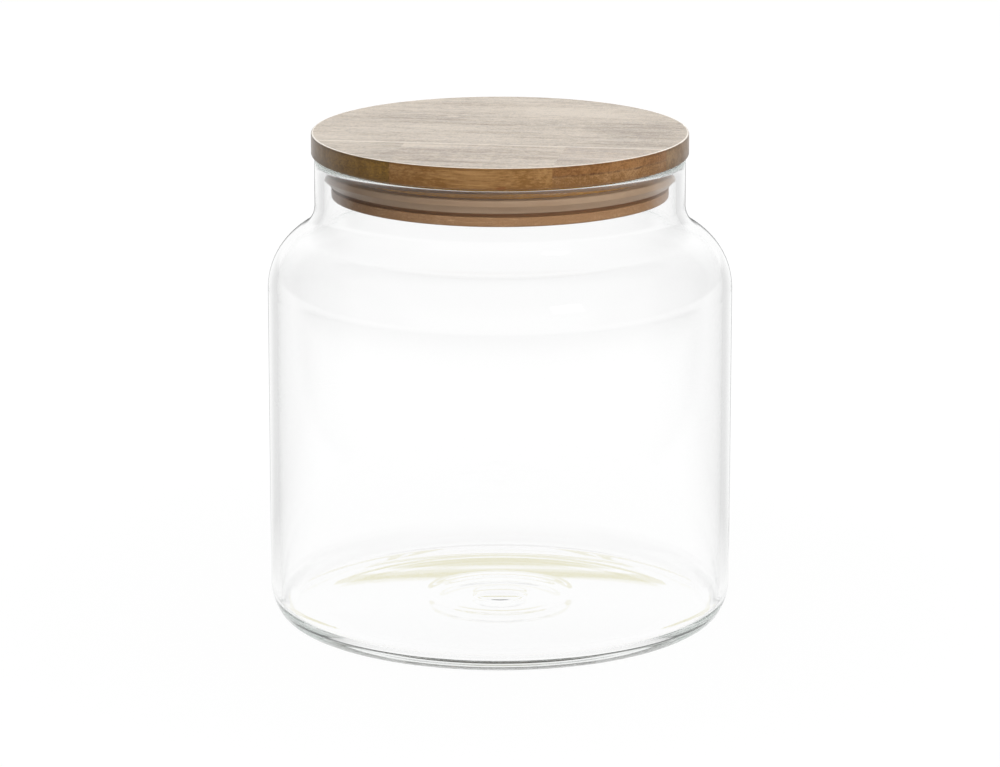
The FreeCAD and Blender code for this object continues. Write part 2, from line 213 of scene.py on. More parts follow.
def jar_section():
    foot_centre = (FOOT_RADIUS, FOOT_CORNER)
    overlap = FOOT_RADIUS + BASE_CORNER - BODY_RADIUS
    rise = math.sqrt((BASE_CORNER - FOOT_CORNER) ** 2 - overlap ** 2)
    corner_centre = (BODY_RADIUS - BASE_CORNER, FOOT_CORNER + rise)
    meet = math.degrees(math.atan2(-rise, overlap))
    shoulder_centre = (BODY_RADIUS - SHOULDER, SHOULDER_HEIGHT)
    neck_centre = (NECK_RADIUS + NECK_FILLET, NECK_START)
    lean = math.degrees(math.atan2(NECK_START - SHOULDER_HEIGHT, neck_centre[0] - shoulder_centre[0]))
    rim_height = JAR_HEIGHT - RIM
    bore = NECK_RADIUS - WALL
    inside = BODY_RADIUS - WALL
    floor_centre = (inside - FLOOR_CORNER, FLOOR + FLOOR_CORNER)

    under = [PUNT_RADIUS * k / PUNT_STEPS for k in range(PUNT_STEPS + 1)]
    outer = [
        *[(radius, dome(PUNT_HEIGHT, PUNT_RADIUS, radius)) for radius in under],
        *straight((PUNT_RADIUS, 0), (FOOT_RADIUS, 0), SHORT_STEPS),
        *arc(foot_centre, FOOT_CORNER, -90, meet, CORNER_STEPS),
        *arc(corner_centre, BASE_CORNER, meet, 0, CORNER_STEPS),
        *straight((BODY_RADIUS, corner_centre[1]), (BODY_RADIUS, SHOULDER_HEIGHT), WALL_STEPS),
        *arc(shoulder_centre, SHOULDER, 0, lean, SHOULDER_STEPS),
        *arc(neck_centre, NECK_FILLET, 180 + lean, 180, FILLET_STEPS),
        *straight((NECK_RADIUS, NECK_START), (NECK_RADIUS, rim_height), NECK_STEPS),
        *arc((NECK_RADIUS - RIM, rim_height), RIM, 0, 180, RIM_STEPS),
    ]
    floor_width = PUNT_RADIUS - BUMP_RADIUS
    floor = [PUNT_RADIUS - floor_width * k / FLOOR_STEPS for k in range(FLOOR_STEPS + 1)]
    bump_foot = FLOOR + dome(PUNT_HEIGHT, PUNT_RADIUS, BUMP_RADIUS)
    bump = [BUMP_RADIUS * (1 - k / BUMP_STEPS) for k in range(BUMP_STEPS + 1)]
    inner = [
        *straight((bore, rim_height), (bore, NECK_START), NECK_STEPS),
        *arc(neck_centre, NECK_FILLET + WALL, 180, 180 + lean, FILLET_STEPS),
        *arc(shoulder_centre, SHOULDER - WALL, lean, 0, SHOULDER_STEPS),
        *straight((inside, SHOULDER_HEIGHT), (inside, floor_centre[1]), WALL_STEPS),
        *arc(floor_centre, FLOOR_CORNER, 0, -90, CORNER_STEPS),
        *straight((floor_centre[0], FLOOR), (PUNT_RADIUS, FLOOR), SHORT_STEPS),
        *[(radius, floor_height(radius)) for radius in floor],
        *[(radius, bump_foot + dome(BUMP_HEIGHT, BUMP_RADIUS, radius)) for radius in bump],
    ]
    return tidy(outer + inner)


def flange_section():
    low, high = LID_SEAT, LID_TOP
    flat = LID_RADIUS - LID_EASE
    rings = [*LID_RINGS, flat - TOP_BAND, flat]
    side_low = (LID_RADIUS, low + LID_EASE + SIDE_BAND)
    side_high = (LID_RADIUS, high - LID_EASE - SIDE_BAND)
    return tidy([
        *[(radius, low) for radius in rings],
        *arc((flat, low + LID_EASE), LID_EASE, -90, 0, FLANGE_EASE_STEPS),
        *straight(side_low, side_high, SIDE_STEPS),
        *arc((flat, high - LID_EASE), LID_EASE, 0, 90, FLANGE_EASE_STEPS),
        *[(radius, high) for radius in reversed(rings)],
    ])


def plug_section():
    groove_low = PLUG_BOTTOM + PLUG_LIP
    groove_high = groove_low + PLUG_GROOVE
    flat = PLUG_RADIUS - PLUG_EASE
    groove_edge = PLUG_RADIUS - GROOVE_EASE
    return tidy([
        (0, PLUG_BOTTOM),
        (PLUG_RING, PLUG_BOTTOM),
        (flat - TOP_BAND, PLUG_BOTTOM),
        *arc((flat, PLUG_BOTTOM + PLUG_EASE), PLUG_EASE, -90, 0, EASE_STEPS),
        (PLUG_RADIUS, groove_low - GROOVE_EASE),
        *arc((groove_edge, groove_low - GROOVE_EASE), GROOVE_EASE, 0, 90, SHORT_STEPS),
        (GROOVE_RADIUS, groove_low),
        (GROOVE_RADIUS, groove_high),
        *arc((groove_edge, groove_high + GROOVE_EASE), GROOVE_EASE, -90, 0, SHORT_STEPS),
        (PLUG_RADIUS, LID_SEAT),
        (PLUG_RING, LID_SEAT),
        (0, LID_SEAT),
    ])


def gasket_section():
    low, high = GASKET_BOTTOM, GASKET_TOP
    notch = low + GASKET_NOTCH
    band_flat = GASKET_BAND - GASKET_BAND_EASE
    band_low = notch + GASKET_BAND_EASE
    widest = (GASKET_RADIUS, low + GASKET_LEAD_IN)
    return tidy([
        (GASKET_BORE, low),
        (GASKET_FOOT, low),
        (GASKET_FOOT, notch),
        (band_flat, notch),
        *arc((band_flat, band_low), GASKET_BAND_EASE, -90, -20, SHORT_STEPS),
        *straight((GASKET_BAND, band_low), widest, SHORT_STEPS),
        *straight(widest, (GASKET_RADIUS, high - GASKET_EASE), SIDE_STEPS),
        *arc((GASKET_RADIUS - GASKET_EASE, high - GASKET_EASE), GASKET_EASE, 0, 90, EASE_STEPS),
        (GASKET_BORE, high),
    ])


RISE = (0.0, 1.0)
FALL = (1.0, 0.0)
NOISE_MIDDLE = 0.5


class Nodes:
    """A node tree built call by call. Each call returns an output socket."""

    def __init__(self, tree):
        self.tree = tree
        self.tree.nodes.clear()

    def add(self, kind, inputs=None, out=0, **settings):
        node = self.tree.nodes.new(kind)
        for key, value in settings.items():
            setattr(node, key, value)
        for key, value in (inputs or {}).items():
            if isinstance(value, bpy.types.NodeSocket):
                self.tree.links.new(value, node.inputs[key])
            else:
                node.inputs[key].default_value = value
        return node.outputs[out]

    def place(self):
        """Where a point is in its object, in metres."""
        return self.add("ShaderNodeTexCoord", out="Object")

    def split(self, vector):
        return self.add("ShaderNodeSeparateXYZ", {"Vector": vector}).node.outputs

    def math(self, operation, first, second=0.0, third=0.0):
        return self.add("ShaderNodeMath", {0: first, 1: second, 2: third}, operation=operation)

    def plus(self, first, second):
        return self.math("ADD", first, second)

    def minus(self, first, second):
        return self.math("SUBTRACT", first, second)

    def times(self, first, second):
        return self.math("MULTIPLY", first, second)

    def over(self, first, second):
        return self.math("DIVIDE", first, second)

    def larger(self, first, second):
        return self.math("MAXIMUM", first, second)

    def size(self, value):
        return self.math("ABSOLUTE", value)

    def add_part(self, value, weight, other):
        """A value at a weight, added to another one."""
        return self.math("MULTIPLY_ADD", value, weight, other)

    def squares(self, first, second):
        """The sum of two squares."""
        return self.add_part(first, first, self.times(second, second))

    def length(self, first, second):
        return self.math("SQRT", self.squares(first, second))

    def swing(self, noise, weight):
        """A noise about zero, at a weight."""
        return self.times(self.minus(noise, NOISE_MIDDLE), weight)

    def range(self, value, limits, ends=RISE, smooth=False):
        """A change from one end to the other while a value goes from its first limit to its last."""
        inputs = {"Value": value, "From Min": limits[0], "From Max": limits[1],
                  "To Min": ends[0], "To Max": ends[1]}
        kind = "SMOOTHSTEP" if smooth else "LINEAR"
        return self.add("ShaderNodeMapRange", inputs, interpolation_type=kind, clamp=True)

    def between(self, share, ends):
        """A change from one end to the other while a share goes from 0 to 1."""
        return self.range(share, RISE, ends)

    def mix(self, share, first, second, blend="MIX"):
        """A mix of two colours, which go in at sockets 6 and 7 and come out at socket 2."""
        inputs = {0: share, 6: first, 7: second}
        return self.add("ShaderNodeMix", inputs, 2, data_type="RGBA", blend_type=blend)

    def mix_values(self, share, first, second):
        """A mix of two numbers, which go in at sockets 2 and 3 and come out at socket 0."""
        return self.add("ShaderNodeMix", {0: share, 2: first, 3: second})

    def scaled(self, vector, scale, turn=0.0):
        inputs = {"Vector": vector, "Rotation": (0, 0, turn), "Scale": scale}
        return self.add("ShaderNodeMapping", inputs)

    def noise(self, vector, scale=1.0, detail=2.0, roughness=0.5, distortion=0.0):
        inputs = {"Vector": vector, "Scale": scale, "Detail": detail, "Roughness": roughness,
                  "Distortion": distortion}
        return self.add("ShaderNodeTexNoise", inputs)

    def ramp(self, value, *stops):
        """A change between two colours, each given with its place."""
        output = self.add("ShaderNodeValToRGB", {"Fac": value})
        for element, (place, colour) in zip(output.node.color_ramp.elements, stops):
            element.position = place
            element.color = colour
        return output

    def output(self, surface, volume=None, kind="ShaderNodeOutputMaterial"):
        node = self.tree.nodes.new(kind)
        self.tree.links.new(surface, node.inputs["Surface"])
        if volume is not None:
            self.tree.links.new(volume, node.inputs["Volume"])


def new_material(name):
    material = bpy.data.materials.new(name)
    material.use_nodes = True
    return material, Nodes(material.node_tree)


def srgb(red, green, blue):
    """A colour written as it shows on screen, 0 to 255, as the linear values that nodes take."""
    def linear(level):
        share = level / 255
        return share / 12.92 if share <= 0.04045 else ((share + 0.055) / 1.055) ** 2.4
    return linear(red), linear(green), linear(blue), 1.0


# The grain of the wood: how many waves or cells a millimetre has along, across and up the staves
FIBRE_SCALE = (0.07, 1.7, 1.7)
STREAK_SCALE = (0.03, 0.25, 0.25)
BLOTCH_SCALE = (0.025, 0.05, 0.05)
WOBBLE_SCALE = (0.015, 0.03, 0.03)
SPECKLE_SCALE = (1.3, 0.7, 0.7)
FLECK_SCALE = (0.3, 0.6, 0.6)
BREAK_SCALE = (0.5, 0.1, 0.1)

# How much the grain changes the tone; pairs are for the sides and for the upper face
FIBRE_WEIGHT = (1.7, 0.85)
SPECKLE_WEIGHT = (0.15, 0.9)
FLECK_WEIGHT = (0.25, 1.0)
STREAK_WEIGHT = 0.55
BLOTCH_WEIGHT = 0.5
LATE_WOOD_WEIGHT = -0.06
TONE_LEVEL = 0.205
# The tone also rises with height, lighter towards the top.
TONE_PER_MM = 0.02
TONE_SPAN = (0.45, 0.95)

# Growth rings about a pith line in front of the lid and below it
PITH_FRONT = 70.0
PITH_HEIGHT = LID_SEAT - 40.0
RING_SPACING = 3.2
RING_WOBBLE = 14.0
LATE_WOOD = (0.55, 0.98)

# Heights on the flange: the upper face, the band under its edge where a dark line is painted for the dark
# that the rounding reflects, and the lower side, darker towards its bottom
UPPER_FACE = (LID_TOP - 0.2, LID_TOP - 0.08)
DARK_REFLECTION_BAND = (LID_TOP - 1.1, LID_TOP - 0.6)
DARK_REFLECTION_TONE = -0.25
LOWER_SIDE = (LID_SEAT, LID_SEAT + 3.5)
LOWER_SIDE_TONE = -0.16
FLANGE_START = LID_SEAT - 0.05

# Browner and paler places on the lid, in millimetres along and across the staves:
# centre, half length, half width, and how much paler. Most are the wood's figure; the paler one at the back
# right is painted sheen, and the darker one at the front is partly painted sheen.
FIGURE_AND_SHEEN = (
    (-29.5, 23.0, 18.0, 9.0, -0.14),
    (16.0, 13.5, 20.0, 9.0, -0.14),
    (46.0, 3.0, 18.0, 26.0, -0.16),
    # Partly painted sheen: the top is darker at the front, where it shows less sheen.
    (2.0, -43.0, 38.0, 17.0, -0.2),
    # Painted sheen: the top is paler at the back right, where it shows more sheen.
    (15.0, 36.5, 34.0, 15.0, 0.14),
    (-19.0, 22.5, 2.5, 2.0, 0.25),
)
FIGURE_AND_SHEEN_EDGE = (0.3, 2.2)
FIGURE_AND_SHEEN_WAVE = 1.2

# Pores, as dashes and as small specks: cells, how far from its middle one is dark, and which cells have one
PORE_DASHES = {"scale": (0.28, 0.95, 0.95), "edge": (0.26, 0.42), "chosen": (0.5, 0.55)}
PORE_SPECKS = {"scale": (0.8, 1.6, 1.6), "edge": (0.2, 0.36), "chosen": (0.62, 0.66)}
PORE_COLOUR = srgb(54, 32, 12)
PORE_DEPTH = -0.6
PORE_DULLNESS = 0.5

# A growth line that wanders and breaks off, and a small knot that leans
VEIN_WAVE = 1.2
VEIN_EDGE = (0.15, 0.45)
VEIN_BREAK = (0.4, 0.6)
VEIN_STRENGTH = (0.25, 0.8)
VEIN_COLOUR = srgb(74, 40, 12)
KNOT_LENGTH = 1.9
KNOT_HEIGHT = 0.6
KNOT_LEAN = -0.4
KNOT_EDGE = (0.2, 1.0)
KNOT_STRENGTH = 0.7
KNOT_COLOUR = srgb(112, 58, 6)

# The upper face: paler and greyer, partly painted sheen, with a painted highlight along the front joint and
# a painted highlight on the rounded edge, patchy along the fibres
TOP_TONE_AND_SHEEN_SHARE = 0.85
TOP_TONE_AND_SHEEN_DARK = (0.4, srgb(114, 88, 60))
TOP_TONE_AND_SHEEN_LIGHT = (1.0, srgb(174, 148, 116))
JOINT_HIGHLIGHT_EDGE = (0.35, 0.75)
JOINT_HIGHLIGHT_STRENGTH = 0.4
JOINT_HIGHLIGHT_COLOUR = srgb(236, 224, 206)
EDGE_HIGHLIGHT_REACH = (LID_RADIUS - 0.8, LID_RADIUS - 0.5)
EDGE_HIGHLIGHT_FIBRE = (0.3, 0.6)
EDGE_HIGHLIGHT_STRENGTH = (0.6, 1.0)
EDGE_HIGHLIGHT_COLOUR = srgb(246, 236, 222)

# The oil on the wood
ROUGH_FIBRE = 0.25
ROUGH_LEVEL = 0.32
LUSTRE_SPAN = (0.35, 0.95)
LUSTRE_LOSS = 0.5
SHADE_EASE = 0.2


def late_wood(nodes, y, z, grain):
    """1 in the dark part of each growth ring."""
    wobble = nodes.noise(nodes.scaled(grain, WOBBLE_SCALE))
    reach = nodes.length(nodes.plus(y, PITH_FRONT), nodes.minus(z, PITH_HEIGHT))
    reach = nodes.add_part(wobble, RING_WOBBLE, reach)
    return nodes.range(nodes.math("FRACT", nodes.over(reach, RING_SPACING)), LATE_WOOD, smooth=True)


def wood_figure_and_sheen(nodes, x, y, grain, upper, streak):
    """Flecks, and the browner and paler places of the lid: the wood's figure, and some painted sheen."""
    fleck = nodes.noise(nodes.scaled(grain, FLECK_SCALE), detail=4, roughness=0.8)
    figure_and_sheen = nodes.swing(fleck, nodes.between(upper, FLECK_WEIGHT))
    for along, across, length, width, paler in FIGURE_AND_SHEEN:
        one = nodes.over(nodes.minus(x, along), length)
        two = nodes.over(nodes.minus(y, across), width)
        away = nodes.add_part(streak, FIGURE_AND_SHEEN_WAVE, nodes.squares(one, two))
        figure_and_sheen = nodes.plus(figure_and_sheen, nodes.range(away, FIGURE_AND_SHEEN_EDGE, (paler, 0.0), smooth=True))
    return figure_and_sheen


def pores_in(nodes, grain, scale, edge, chosen):
    """1 in the middle of some of the cells that the wood is divided into."""
    cells = nodes.add("ShaderNodeTexVoronoi", {"Vector": nodes.scaled(grain, scale)}).node.outputs
    chance = nodes.add("ShaderNodeSeparateColor", {"Color": cells["Color"]})
    return nodes.times(nodes.range(cells["Distance"], edge, FALL), nodes.range(chance, chosen))


def vein_share(nodes, z, grain, streak, height):
    wandering = nodes.add_part(streak, VEIN_WAVE, z)
    away = nodes.size(nodes.minus(wandering, height + VEIN_WAVE / 2))
    line = nodes.range(away, VEIN_EDGE, FALL, smooth=True)
    broken = nodes.range(nodes.noise(nodes.scaled(grain, BREAK_SCALE)), VEIN_BREAK, VEIN_STRENGTH)
    return nodes.times(line, broken)


def knot_share(nodes, x, z, place, height):
    along = nodes.over(nodes.minus(x, place), KNOT_LENGTH)
    above = nodes.over(nodes.minus(z, height), KNOT_HEIGHT)
    above = nodes.add_part(along, KNOT_LEAN, above)
    return nodes.range(nodes.squares(along, above), KNOT_EDGE, (KNOT_STRENGTH, 0.0), smooth=True)


def wood(name, seed, dark, light, pores, sheen=1.0, vein=None, knot=None, shade=None):
    """Oiled hardwood with its grain along the staves, as a solid texture in millimetres.

    A vein is the height of a dark growth line, a knot is a place along the stave and a height, and
    shade is a height above which the wood is multiplied by a colour: a browner band of grain on the right
    block, and painted shade and brown bounce light on the plug's land under the flange.
    """
    material, nodes = new_material(name)
    local = nodes.scaled(nodes.place(), (1 / MM,) * 3, turn=STAVE_ANGLE)
    x, y, z = nodes.split(local)
    grain = nodes.add("ShaderNodeVectorMath", {0: local, 1: seed}, operation="ADD")
    fibre = nodes.noise(nodes.scaled(grain, FIBRE_SCALE), detail=4, roughness=0.7)
    streak = nodes.noise(nodes.scaled(grain, STREAK_SCALE), detail=3, distortion=0.5)
    blotch = nodes.noise(nodes.scaled(grain, BLOTCH_SCALE))
    speckle = nodes.noise(nodes.scaled(grain, SPECKLE_SCALE), roughness=0.6)
    upper = nodes.range(z, UPPER_FACE)

    fine = nodes.swing(fibre, nodes.between(upper, FIBRE_WEIGHT))
    grit = nodes.swing(speckle, nodes.between(upper, SPECKLE_WEIGHT))
    tone = nodes.plus(nodes.plus(fine, grit), TONE_LEVEL)
    tone = nodes.add_part(streak, STREAK_WEIGHT, tone)
    tone = nodes.add_part(blotch, BLOTCH_WEIGHT, tone)
    tone = nodes.add_part(late_wood(nodes, y, z, grain), LATE_WOOD_WEIGHT, tone)
    tone = nodes.add_part(nodes.minus(z, LOWER_SIDE[1]), TONE_PER_MM, tone)
    on_flange = nodes.math("GREATER_THAN", z, FLANGE_START)
    tone = nodes.add_part(nodes.range(z, LOWER_SIDE, (LOWER_SIDE_TONE, 0.0)), on_flange, tone)
    # Painted reflection: a dark line on the side just under the rounded top edge.
    dark_reflection = nodes.times(nodes.range(z, DARK_REFLECTION_BAND), nodes.between(upper, (DARK_REFLECTION_TONE, 0.0)))
    tone = nodes.plus(tone, dark_reflection)
    # The wood's figure, and painted sheen on the top: paler at the back right, partly darker at the front.
    figure_and_sheen = wood_figure_and_sheen(nodes, x, y, grain, upper, streak)
    tone = nodes.plus(tone, figure_and_sheen)

    colour = nodes.ramp(tone, (TONE_SPAN[0], dark), (TONE_SPAN[1], light))
    # Partly painted sheen: the upper face takes a paler, greyer tone, the same on every board.
    top_tone_and_sheen = nodes.ramp(tone, TOP_TONE_AND_SHEEN_DARK, TOP_TONE_AND_SHEEN_LIGHT)
    colour = nodes.mix(nodes.times(upper, TOP_TONE_AND_SHEEN_SHARE), colour, top_tone_and_sheen)
    # On the right block a browner band of its grain; on the plug, painted shade and bounce light: the land
    # under the flange darker and more olive.
    if shade is not None:
        height, brown = shade
        colour = nodes.mix(nodes.range(z, (height, height + SHADE_EASE)), colour, brown, blend="MULTIPLY")
    pore = nodes.larger(pores_in(nodes, grain, **PORE_DASHES), pores_in(nodes, grain, **PORE_SPECKS))
    colour = nodes.mix(nodes.times(pore, pores), colour, PORE_COLOUR)
    if vein is not None:
        colour = nodes.mix(vein_share(nodes, z, grain, streak, vein), colour, VEIN_COLOUR)
    if knot is not None:
        colour = nodes.mix(knot_share(nodes, x, z, *knot), colour, KNOT_COLOUR)

    # Painted highlight: a pale line along the front joint on the upper face, for the small step there
    # catching the light.
    joint = nodes.size(nodes.minus(y, FRONT_JOINT))
    joint_highlight = nodes.times(upper, nodes.range(joint, JOINT_HIGHLIGHT_EDGE, (JOINT_HIGHLIGHT_STRENGTH, 0.0), smooth=True))
    colour = nodes.mix(joint_highlight, colour, JOINT_HIGHLIGHT_COLOUR)
    # Painted highlight: the rounded edge of the upper face is pale, patchy along the fibres.
    edge = nodes.times(upper, nodes.range(nodes.length(x, y), EDGE_HIGHLIGHT_REACH))
    edge_highlight = nodes.times(edge, nodes.range(fibre, EDGE_HIGHLIGHT_FIBRE, EDGE_HIGHLIGHT_STRENGTH))
    colour = nodes.mix(edge_highlight, colour, EDGE_HIGHLIGHT_COLOUR)

    rough = nodes.add_part(fibre, ROUGH_FIBRE, ROUGH_LEVEL)
    height = nodes.add_part(pore, PORE_DEPTH, fibre)
    bump = nodes.add("ShaderNodeBump", {"Height": height, "Strength": 0.25, "Distance": 0.05 * MM})
    lustre = nodes.plus(figure_and_sheen, nodes.add_part(blotch, BLOTCH_WEIGHT, streak))
    coat = nodes.range(lustre, LUSTRE_SPAN, (sheen - LUSTRE_LOSS, sheen))
    coat = nodes.times(coat, nodes.between(pore, (1.0, 1.0 - PORE_DULLNESS * pores)))
    shader = nodes.add("ShaderNodeBsdfPrincipled", {
        "Base Color": colour, "Roughness": rough, "Normal": bump, "Specular IOR Level": 0.1,
        "Coat Weight": coat, "Coat Roughness": 0.32, "Coat IOR": 1.5})
    nodes.output(shader)
    return material


# Glass: a slow waviness, and painted shade: a grey tint that shows only where the glass is seen almost edge
# on, and stands for the dark outlines at its edges
GLASS_WAVES = (18, 18, 6)
GLASS_EDGE_SHADE = srgb(205, 209, 208)
GLASS_EDGE_SHADE_POWER = 10.0
GLASS_SHADOW = (0.96, 0.97, 0.97, 1)
GLASS_DEPTH = {"Color": (0.86, 0.89, 0.875, 1), "Density": 4.0}
WHITE = (1, 1, 1, 1)


def clear_glass():
    material, nodes = new_material("clear_glass")
    sway = nodes.noise(nodes.scaled(nodes.place(), GLASS_WAVES), detail=1)
    bump = nodes.add("ShaderNodeBump", {"Height": sway, "Strength": 0.3, "Distance": 0.1 * MM})
    edge = nodes.add("ShaderNodeLayerWeight", {"Blend": 0.5}, "Facing")
    # Painted shade: the glass is tinted grey where it is seen edge on, for its dark outlines.
    edge_shade = nodes.mix(nodes.math("POWER", edge, GLASS_EDGE_SHADE_POWER), WHITE, GLASS_EDGE_SHADE)
    glass = nodes.add("ShaderNodeBsdfPrincipled", {
        "Base Color": edge_shade, "Roughness": 0.0, "IOR": 1.47, "Transmission Weight": 1.0, "Normal": bump})
    clear = nodes.add("ShaderNodeBsdfTransparent", {"Color": GLASS_SHADOW})
    shadow = nodes.add("ShaderNodeLightPath", out="Is Shadow Ray")
    both = nodes.add("ShaderNodeMixShader", {0: shadow, 1: glass, 2: clear})
    nodes.output(both, nodes.add("ShaderNodeVolumeAbsorption", GLASS_DEPTH))
    return material


# Silicone: faintly cloudy, with painted shade in the notch under its band
SILICONE_CLOUDS = (40, 40, 160)
SILICONE_DARK = (0.3, srgb(192, 158, 127))
SILICONE_LIGHT = (0.75, srgb(217, 186, 155))
NOTCH_TOP = GASKET_BOTTOM + GASKET_NOTCH
NOTCH_SHADE_EDGE = ((NOTCH_TOP - 0.6) * MM, (NOTCH_TOP - 0.2) * MM)
NOTCH_SHADE_COLOUR = srgb(150, 106, 70)


def silicone():
    material, nodes = new_material("clear_silicone")
    place = nodes.place()
    cloud = nodes.noise(nodes.scaled(place, SILICONE_CLOUDS), detail=3)
    colour = nodes.ramp(cloud, SILICONE_DARK, SILICONE_LIGHT)
    height = nodes.split(place)["Z"]
    # Painted shade: the notch under the band is darker, for the shade in that crevice.
    colour = nodes.mix(nodes.range(height, NOTCH_SHADE_EDGE), NOTCH_SHADE_COLOUR, colour)
    bump = nodes.add("ShaderNodeBump", {"Height": cloud, "Strength": 0.15, "Distance": 0.05 * MM})
    shader = nodes.add("ShaderNodeBsdfPrincipled", {
        "Base Color": colour, "Roughness": 0.38, "IOR": 1.41, "Transmission Weight": 0.25,
        "Normal": bump})
    nodes.output(shader)
    return material


# Where the plug's land starts, above which it takes painted shade and bounce light.
LAND_START = PLUG_BOTTOM + PLUG_LIP + PLUG_GROOVE - 0.1
WOODS = {
    "lid_front_left_block": {
        "name": "wood_dark", "seed": (13, 7, 3), "pores": 0.85,
        "dark": srgb(106, 75, 16), "light": srgb(146, 107, 34)},
    "lid_front_middle_block": {
        "name": "wood_light", "seed": (210, 41, 5), "pores": 0.15, "knot": (8.8, 153.6),
        "dark": srgb(119, 80, 32), "light": srgb(161, 120, 70)},
    "lid_front_right_block": {
        "name": "wood_grained", "seed": (430, 83, 11), "pores": 0.5, "vein": 156.6,
        "shade": (156.8, srgb(236, 222, 200)),
        "dark": srgb(122, 84, 42), "light": srgb(164, 124, 80)},
    "lid_middle_stave": {
        "name": "wood_middle", "seed": (650, 127, 17), "pores": 0.35,
        "dark": srgb(106, 76, 38), "light": srgb(150, 116, 72)},
    "lid_back_stave": {
        "name": "wood_back", "seed": (870, 169, 23), "pores": 0.3,
        "dark": srgb(112, 84, 50), "light": srgb(156, 124, 84)},
    "lid_plug": {
        "name": "wood_plug", "seed": (1090, 211, 29), "pores": 0.3, "sheen": 0.35,
        "shade": (LAND_START, srgb(234, 214, 112)),
        "dark": srgb(172, 131, 94), "light": srgb(208, 169, 128)},
}


def cut(made, place, direction):
    """Keeps the side of a bmesh that the direction points away from, and closes the cut."""
    geometry = [*made.verts, *made.edges, *made.faces]
    result = bmesh.ops.bisect_plane(made, geom=geometry, dist=CUT_SLACK, plane_co=place,
                                    plane_no=direction, clear_outer=True)
    rim = [item for item in result["geom_cut"] if isinstance(item, bmesh.types.BMEdge)]
    bmesh.ops.contextual_create(made, geom=rim)


def lid_block(name, left, right, front, back):
    """One glued piece of the flange, between its joints; None means out to the lid's edge."""
    made = turn(flange_section())
    along = Vector((math.cos(STAVE_ANGLE), -math.sin(STAVE_ANGLE), 0))
    across = Vector((math.sin(STAVE_ANGLE), math.cos(STAVE_ANGLE), 0))
    for limit, axis, sign in ((left, along, -1), (right, along, 1), (front, across, -1), (back, across, 1)):
        if limit is not None:
            cut(made, axis * limit * MM, axis * sign)
    bmesh.ops.recalc_face_normals(made, faces=made.faces)
    return finish_piece(f"{name}_board", made, sharp=SHARP_ANGLE)


jar = finish_piece("glass_jar_blown", turn(jar_section()))
dress(jar, "jar", "clear_glass", clear_glass(), "glass_jar")

LIMITS = {
    "lid_front_left_block": (None, LEFT_END_JOINT, None, FRONT_JOINT),
    "lid_front_middle_block": (LEFT_END_JOINT, RIGHT_END_JOINT, None, FRONT_JOINT),
    "lid_front_right_block": (RIGHT_END_JOINT, None, None, FRONT_JOINT),
    "lid_middle_stave": (None, None, FRONT_JOINT, BACK_JOINT),
    "lid_back_stave": (None, None, BACK_JOINT, None),
}
boards = []
for node, limits in LIMITS.items():
    look = WOODS[node]
    board = lid_block(node, *limits)
    dress(board, "lid", look["name"], wood(**look), node)
    boards.append(board)

plug = finish_piece("lid_plug_turned", turn(plug_section()), sharp=SHARP_ANGLE)
dress(plug, "lid", "wood_plug", wood(**WOODS["lid_plug"]), "lid_plug")
gasket = finish_piece("silicone_gasket_moulded", turn(gasket_section(), closed=True), sharp=SHARP_ANGLE)
dress(gasket, "gasket", "clear_silicone", silicone(), "silicone_gasket")


# The camera of the photo
CAMERA_PLACE = (0.0, -1.522, 0.455)
CAMERA_PITCH = 13.97
CAMERA_LENS = 173.6
CAMERA_SENSOR = 36.0
CAMERA_REACH = 50.0


def add_camera():
    camera = bpy.data.cameras.new("photo_camera")
    camera.lens = CAMERA_LENS
    camera.sensor_width = CAMERA_SENSOR
    camera.clip_end = CAMERA_REACH
    holder = bpy.data.objects.new("photo_camera", camera)
    holder.location = CAMERA_PLACE
    holder.rotation_euler = (math.radians(90 - CAMERA_PITCH), 0, 0)
    bpy.context.scene.collection.objects.link(holder)
    bpy.context.scene.camera = holder


def add_lamp(name, place, target, size, power, glints=False, pieces=None):
    """A softbox; glints says whether it shows in gloss, and pieces are the only ones it lights."""
    lamp = bpy.data.lights.new(name, "AREA")
    lamp.shape = "RECTANGLE"
    lamp.size, lamp.size_y = size
    lamp.energy = power
    holder = bpy.data.objects.new(name, lamp)
    holder.location = place
    holder.rotation_euler = (Vector(target) - Vector(place)).to_track_quat("-Z", "Y").to_euler()
    holder.visible_camera = False
    holder.visible_transmission = False
    holder.visible_glossy = glints
    if pieces is not None:
        group = bpy.data.collections.new(f"{name}_lights")
        for piece in pieces:
            group.objects.link(piece)
        holder.light_linking.receiver_collection = group
    bpy.context.scene.collection.objects.link(holder)


# Rays are told apart by how often a surface has mirrored them
ONCE = 1.0
MANY_TURNS = 23.0
MANY_TURNS_SPREAD = 7.5
HALF = 0.5
GLOSS_LEVEL = 0.1


def seen(nodes, path):
    """1 for rays that show a background, also in gloss or through glass, and 0 for those that light."""
    shown = nodes.larger(path["Is Camera Ray"], path["Is Glossy Ray"])
    shown = nodes.larger(shown, path["Is Transmission Ray"])
    return nodes.times(shown, nodes.math("LESS_THAN", path["Diffuse Depth"], HALF))


def reflected(nodes, path):
    """1 for rays that one surface has mirrored, 0 for those that go on or round inside the glass."""
    return nodes.math("COMPARE", path["Glossy Depth"], ONCE, HALF)


def trapped(nodes, path):
    """1 for rays that the base holds for many turns and that come out dark."""
    return nodes.math("COMPARE", path["Glossy Depth"], MANY_TURNS, MANY_TURNS_SPREAD)


def brightness(nodes, path, away):
    """How bright the studio shows: dimmer for mirrored rays by the share given, and for trapped ones."""
    dim = nodes.add_part(reflected(nodes, path), away, trapped(nodes, path))
    return nodes.between(dim, (1.0, GLOSS_LEVEL))


